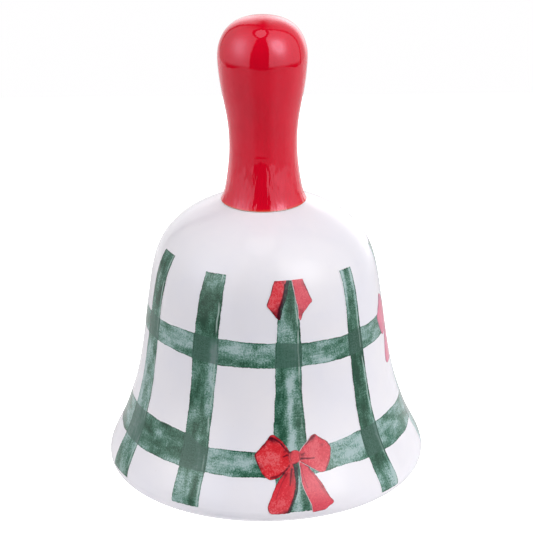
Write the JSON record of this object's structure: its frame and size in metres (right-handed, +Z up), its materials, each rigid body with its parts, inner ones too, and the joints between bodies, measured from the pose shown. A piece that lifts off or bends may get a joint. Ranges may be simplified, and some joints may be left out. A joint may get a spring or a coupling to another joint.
{
  "type": "hand bell",
  "caption": "Glazed ceramic hand bell with a flared skirt, a bulbous grip and a chain-hung wooden clapper, stands on its rim.",
  "frame": {"origin": "centre of the foot ring on the plane the bell stands on", "axes": "+Z up along the bell's axis to the handle's top; the decorated front faces -Y; +X to the right seen from the front"},
  "size_m": [0.0998, 0.0998, 0.1458],
  "materials": {
    "white_glaze": "gloss",
    "red_glaze": "gloss",
    "bisque": "matte",
    "plaster": "matte",
    "brass_wire": "satin",
    "brass_link": "satin",
    "beech": "satin"
  },
  "bodies": {
    "bell": {"bell_body": "white_glaze", "handle": "red_glaze", "handle_bond": "bisque", "crown_plug": "plaster", "hanger_staple": "brass_wire"},
    "link_1": {"chain_link_1": "brass_link"},
    "link_2": {"chain_link_2": "brass_link"},
    "link_3": {"chain_link_3": "brass_link"},
    "clapper": {"clapper_eye": "brass_wire", "clapper_drop": "beech"}
  },
  "joints": [
    {"name": "link_1_swing", "type": "hinge", "parent": "bell", "child": "link_1", "pos_m": [0, 0, 0.07394], "axis": [1, 0, 0], "range_deg": [-15, 15]},
    {"name": "link_2_swing", "type": "hinge", "parent": "link_1", "child": "link_2", "pos_m": [0, 0, 0.06594], "axis": [0, 1, 0], "range_deg": [-15, 15]},
    {"name": "link_3_swing", "type": "hinge", "parent": "link_2", "child": "link_3", "pos_m": [0, 0, 0.05794], "axis": [1, 0, 0], "range_deg": [-15, 15]},
    {"name": "clapper_swing", "type": "hinge", "parent": "link_3", "child": "clapper", "pos_m": [0, 0, 0.04994], "axis": [0, 1, 0], "range_deg": [-15, 15]}
  ]
}
